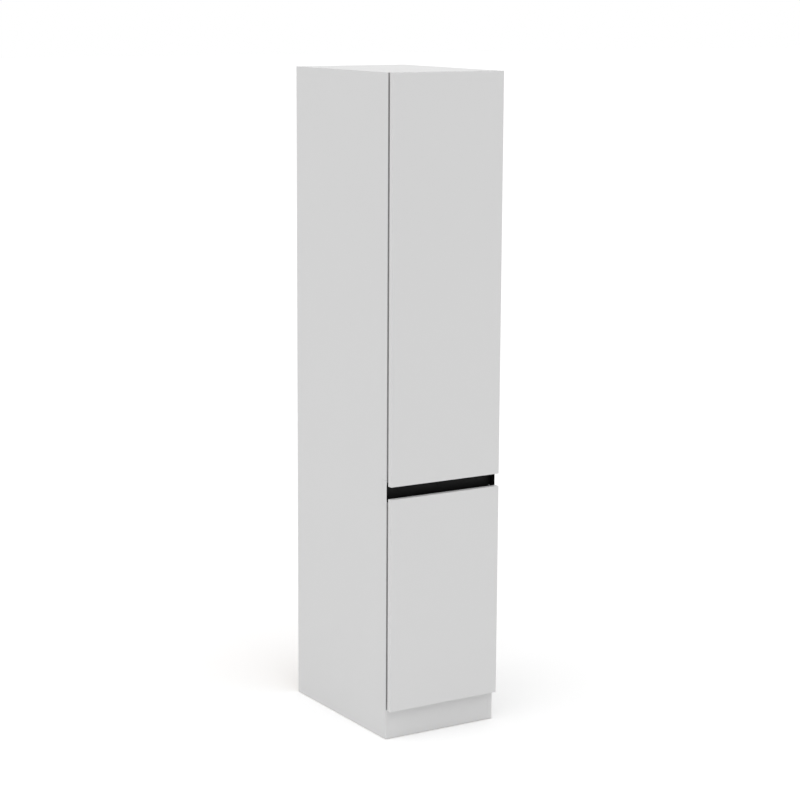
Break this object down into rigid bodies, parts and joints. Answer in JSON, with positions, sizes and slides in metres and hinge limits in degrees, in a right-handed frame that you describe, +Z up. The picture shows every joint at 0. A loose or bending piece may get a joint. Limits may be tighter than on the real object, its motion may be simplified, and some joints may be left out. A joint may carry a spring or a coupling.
{
  "type": "tall kitchen cabinet",
  "caption": "Tall narrow frameless kitchen cabinet with flat overlay doors on concealed hinges, a black recessed grip rail between the doors, adjustable shelves and a flush plinth.",
  "frame": {"origin": "on the floor under the middle of the whole cabinet, doors included", "axes": "+Z up, -Y out of the doors, +X to the hinge side"},
  "size_m": [0.4, 0.585, 2.07],
  "materials": {
    "white_board": "white melamine-faced particle board, matt, fine pearl grain",
    "door_lacquer": "white satin lacquer on fibreboard",
    "back_board": "white-faced thin fibreboard, brown on its hidden side",
    "black_aluminium": "black anodised, fine lengthwise brushing",
    "white_plastic": "white moulded plastic",
    "black_plastic": "black moulded plastic, with a white-faced outer side on the rail caps",
    "nickelled_steel": "nickel-plated steel",
    "black_steel": "black-coated screws",
    "zinc": "bare die-cast zinc",
    "beech": "bare beech, fluted",
    "clear_bumper": "soft clear bumper"
  },
  "bodies": {
    "carcass": {"left_side_panel": "white_board", "right_side_panel": "white_board", "top_panel": "white_board", "middle_panel": "white_board", "bottom_panel": "white_board", "upper_back_panel": "back_board", "lower_back_panel": "back_board", "back_joint_strip": "white_plastic", "plinth_board": "white_board", "rear_plinth_rail": "white_board", "floor_glides": "white_plastic", "grip_rail": "black_aluminium", "grip_rail_screws": "black_steel", "left_grip_cap": "black_plastic", "right_grip_cap": "black_plastic", "upper_shelf_1": "white_board", "upper_shelf_2": "white_board", "upper_shelf_3": "white_board", "upper_shelf_4": "white_board", "lower_shelf_1": "white_board", "lower_shelf_2": "white_board", "shelf_pins": "nickelled_steel", "cam_discs": "zinc", "cam_bolts": "nickelled_steel", "dowels": "beech", "wall_brackets": "nickelled_steel", "wall_bracket_screws": "nickelled_steel", "hinge_plates": "nickelled_steel", "hinge_plate_screws": "nickelled_steel", "hinge_arms": "nickelled_steel", "hinge_arm_pins": "nickelled_steel", "hinge_arm_screws": "nickelled_steel"},
    "upper_outer_links": {"upper_outer_links": "nickelled_steel"},
    "upper_inner_links": {"upper_inner_links": "nickelled_steel"},
    "upper_door": {"upper_door_panel": "door_lacquer", "upper_door_bumpers": "clear_bumper", "upper_hinge_cups": "nickelled_steel", "upper_cup_screws": "nickelled_steel", "upper_cup_pins": "nickelled_steel"},
    "lower_outer_links": {"lower_outer_links": "nickelled_steel"},
    "lower_inner_links": {"lower_inner_links": "nickelled_steel"},
    "lower_door": {"lower_door_panel": "door_lacquer", "lower_door_bumpers": "clear_bumper", "lower_hinge_cups": "nickelled_steel", "lower_cup_screws": "nickelled_steel", "lower_cup_pins": "nickelled_steel"}
  },
  "joints": [
    {"name": "upper_outer_link_turn", "type": "hinge", "parent": "carcass", "child": "upper_outer_links", "pos_m": [0.1572, -0.2584, 1.442], "axis": [0, 0, -1], "range_deg": [0, 29.4]},
    {"name": "upper_door_turn", "type": "hinge", "parent": "upper_outer_links", "child": "upper_door", "pos_m": [0.1855, -0.2753, 1.442], "axis": [0, 0, 1], "range_deg": [0, 124.3]},
    {"name": "upper_inner_link_turn", "type": "hinge", "parent": "carcass", "child": "upper_inner_links", "pos_m": [0.1655, -0.2759, 1.442], "axis": [0, 0, -1], "range_deg": [0, 44.2]},
    {"name": "lower_outer_link_turn", "type": "hinge", "parent": "carcass", "child": "lower_outer_links", "pos_m": [0.1572, -0.2584, 0.435], "axis": [0, 0, -1], "range_deg": [0, 29.4]},
    {"name": "lower_door_turn", "type": "hinge", "parent": "lower_outer_links", "child": "lower_door", "pos_m": [0.1855, -0.2753, 0.435], "axis": [0, 0, 1], "range_deg": [0, 124.3]},
    {"name": "lower_inner_link_turn", "type": "hinge", "parent": "carcass", "child": "lower_inner_links", "pos_m": [0.1655, -0.2759, 0.435], "axis": [0, 0, -1], "range_deg": [0, 44.2]}
  ],
  "couplings": [
    {"joint": "upper_outer_link_turn", "follows": "upper_door_turn", "ratio": 0.23606},
    {"joint": "upper_inner_link_turn", "follows": "upper_door_turn", "ratio": 0.35523},
    {"joint": "lower_outer_link_turn", "follows": "lower_door_turn", "ratio": 0.23606},
    {"joint": "lower_inner_link_turn", "follows": "lower_door_turn", "ratio": 0.35523}
  ]
}
